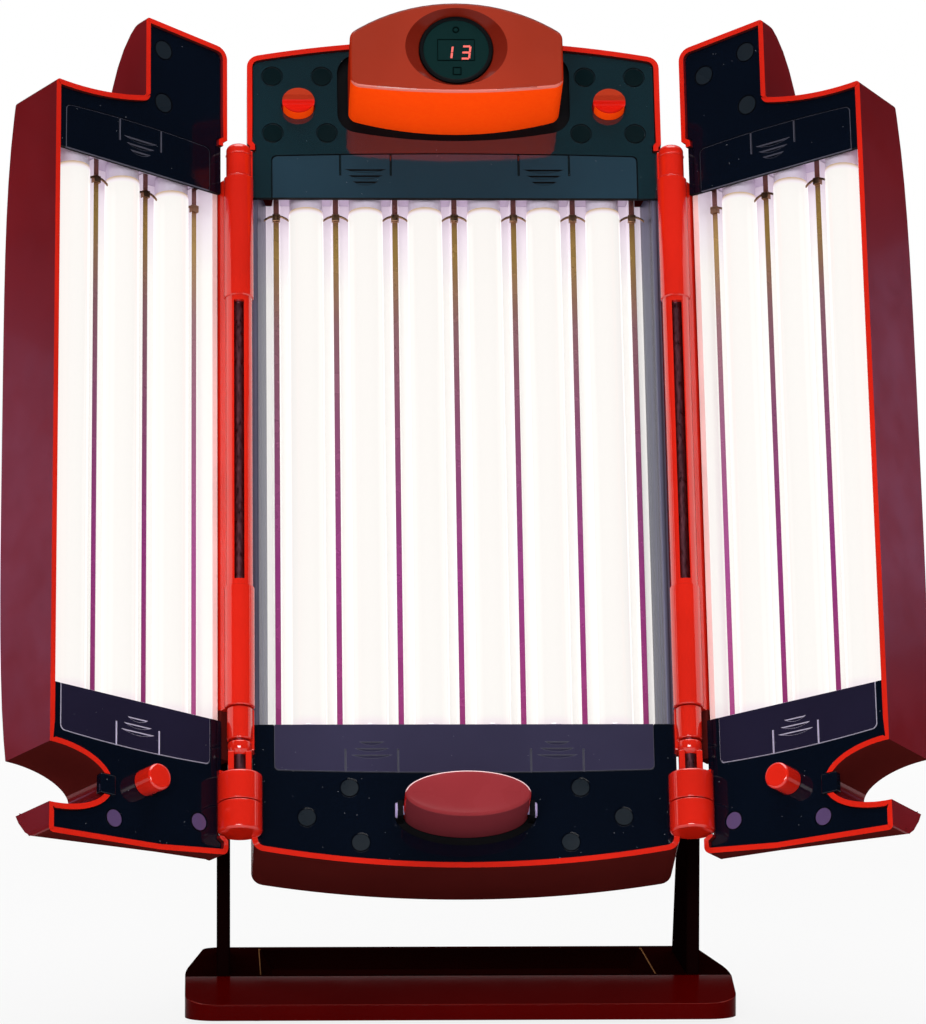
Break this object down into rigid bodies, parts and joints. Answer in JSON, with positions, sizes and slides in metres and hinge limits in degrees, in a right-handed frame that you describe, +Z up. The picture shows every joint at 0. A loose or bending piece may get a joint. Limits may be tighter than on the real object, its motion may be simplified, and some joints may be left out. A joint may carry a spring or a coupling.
{
  "type": "facial tanner",
  "caption": "Table-top tri-fold lamp unit: tilting centre panel of tube lamps with two hinged lamp wings, timer and release latch, between two arms on a tray base.",
  "frame": {"origin": "on the table under the middle of the object's box, with the panel tilted back and the wings swung forwards", "axes": "+Z up, -Y towards the user, +X to the right as seen from the front"},
  "size_m": [0.4126, 0.2489, 0.4615],
  "materials": {
    "red_gloss_plastic": "glossy moulded red",
    "dark_red_gloss_plastic": "glossy moulded dark red",
    "black_gloss_plastic": "glossy moulded black",
    "black_matte_plastic": "matte moulded black",
    "steel": "satin",
    "dark_steel": "blackened",
    "aluminium_reflector": "polished sheet",
    "lit_lamp_glass": "coated tube, lit",
    "circuit_board": "green laminate",
    "black_rubber": "matte"
  },
  "bodies": {
    "stand": {"base_tray": "dark_red_gloss_plastic", "base_weight_plate": "steel", "front_left_foot": "black_rubber", "front_right_foot": "black_rubber", "back_left_foot": "black_rubber", "back_right_foot": "black_rubber", "left_arm": "dark_red_gloss_plastic", "right_arm": "dark_red_gloss_plastic", "left_pivot_bolt": "steel", "right_pivot_bolt": "steel"},
    "panel": {"centre_back_shell": "red_gloss_plastic", "centre_top_fascia": "black_gloss_plastic", "centre_bottom_fascia": "black_gloss_plastic", "centre_top_lamp_cover": "black_gloss_plastic", "centre_bottom_lamp_cover": "black_gloss_plastic", "centre_lamp_1": "lit_lamp_glass", "centre_lamp_2": "lit_lamp_glass", "centre_lamp_3": "lit_lamp_glass", "centre_lamp_4": "lit_lamp_glass", "centre_lamp_5": "lit_lamp_glass", "centre_lamp_6": "lit_lamp_glass", "centre_lamp_chassis": "black_matte_plastic", "centre_reflector": "aluminium_reflector", "timer_seat": "black_matte_plastic", "timer_housing": "red_gloss_plastic", "timer_display": "black_gloss_plastic", "timer_board": "circuit_board", "latch_pin": "steel", "latch_seat": "black_matte_plastic", "lamp_ballast": "steel", "power_inlet": "black_matte_plastic", "left_hinge_pin": "dark_steel", "right_hinge_pin": "dark_steel"},
    "left_wing": {"left_wing_back_shell": "red_gloss_plastic", "left_wing_top_fascia": "black_gloss_plastic", "left_wing_bottom_fascia": "black_gloss_plastic", "left_wing_top_lamp_cover": "black_gloss_plastic", "left_wing_bottom_lamp_cover": "black_gloss_plastic", "left_wing_lamp_1": "lit_lamp_glass", "left_wing_lamp_2": "lit_lamp_glass", "left_wing_lamp_3": "lit_lamp_glass", "left_wing_lamp_chassis": "black_matte_plastic", "left_wing_reflector": "aluminium_reflector", "left_hinge_barrel": "red_gloss_plastic", "left_stop_peg": "red_gloss_plastic"},
    "right_wing": {"right_wing_back_shell": "red_gloss_plastic", "right_wing_top_fascia": "black_gloss_plastic", "right_wing_bottom_fascia": "black_gloss_plastic", "right_wing_top_lamp_cover": "black_gloss_plastic", "right_wing_bottom_lamp_cover": "black_gloss_plastic", "right_wing_lamp_1": "lit_lamp_glass", "right_wing_lamp_2": "lit_lamp_glass", "right_wing_lamp_3": "lit_lamp_glass", "right_wing_lamp_chassis": "black_matte_plastic", "right_wing_reflector": "aluminium_reflector", "right_hinge_barrel": "red_gloss_plastic", "right_stop_peg": "red_gloss_plastic"},
    "left_button": {"left_push_button": "red_gloss_plastic"},
    "right_button": {"right_push_button": "red_gloss_plastic"},
    "latch": {"release_latch": "red_gloss_plastic"}
  },
  "joints": [
    {"name": "panel_tilt", "type": "hinge", "parent": "stand", "child": "panel", "pos_m": [0, 0.0245, 0.221], "axis": [-1, 0, 0], "range_deg": [-24.5, 15.5]},
    {"name": "left_wing_swing", "type": "hinge", "parent": "panel", "child": "left_wing", "pos_m": [-0.1, 0.00657, 0.25665], "axis": [0, 0.4147, 0.91], "range_deg": [-14, 144]},
    {"name": "right_wing_swing", "type": "hinge", "parent": "panel", "child": "right_wing", "pos_m": [0.1, 0.00657, 0.25665], "axis": [0, -0.4147, -0.91], "range_deg": [-14, 144]},
    {"name": "left_button_press", "type": "slide", "parent": "panel", "child": "left_button", "axis": [0, 0.91, -0.4147], "range_m": [0, 0.003], "stiffness_N_per_m": 400, "springref_m": -0.001},
    {"name": "right_button_press", "type": "slide", "parent": "panel", "child": "right_button", "axis": [0, 0.91, -0.4147], "range_m": [0, 0.003], "stiffness_N_per_m": 400, "springref_m": -0.001},
    {"name": "latch_release", "type": "hinge", "parent": "panel", "child": "latch", "pos_m": [0, -0.0638, 0.10079], "axis": [1, 0, 0], "range_deg": [0, 4], "stiffness_Nm_per_rad": 0.6, "springref_deg": -5.73}
  ]
}
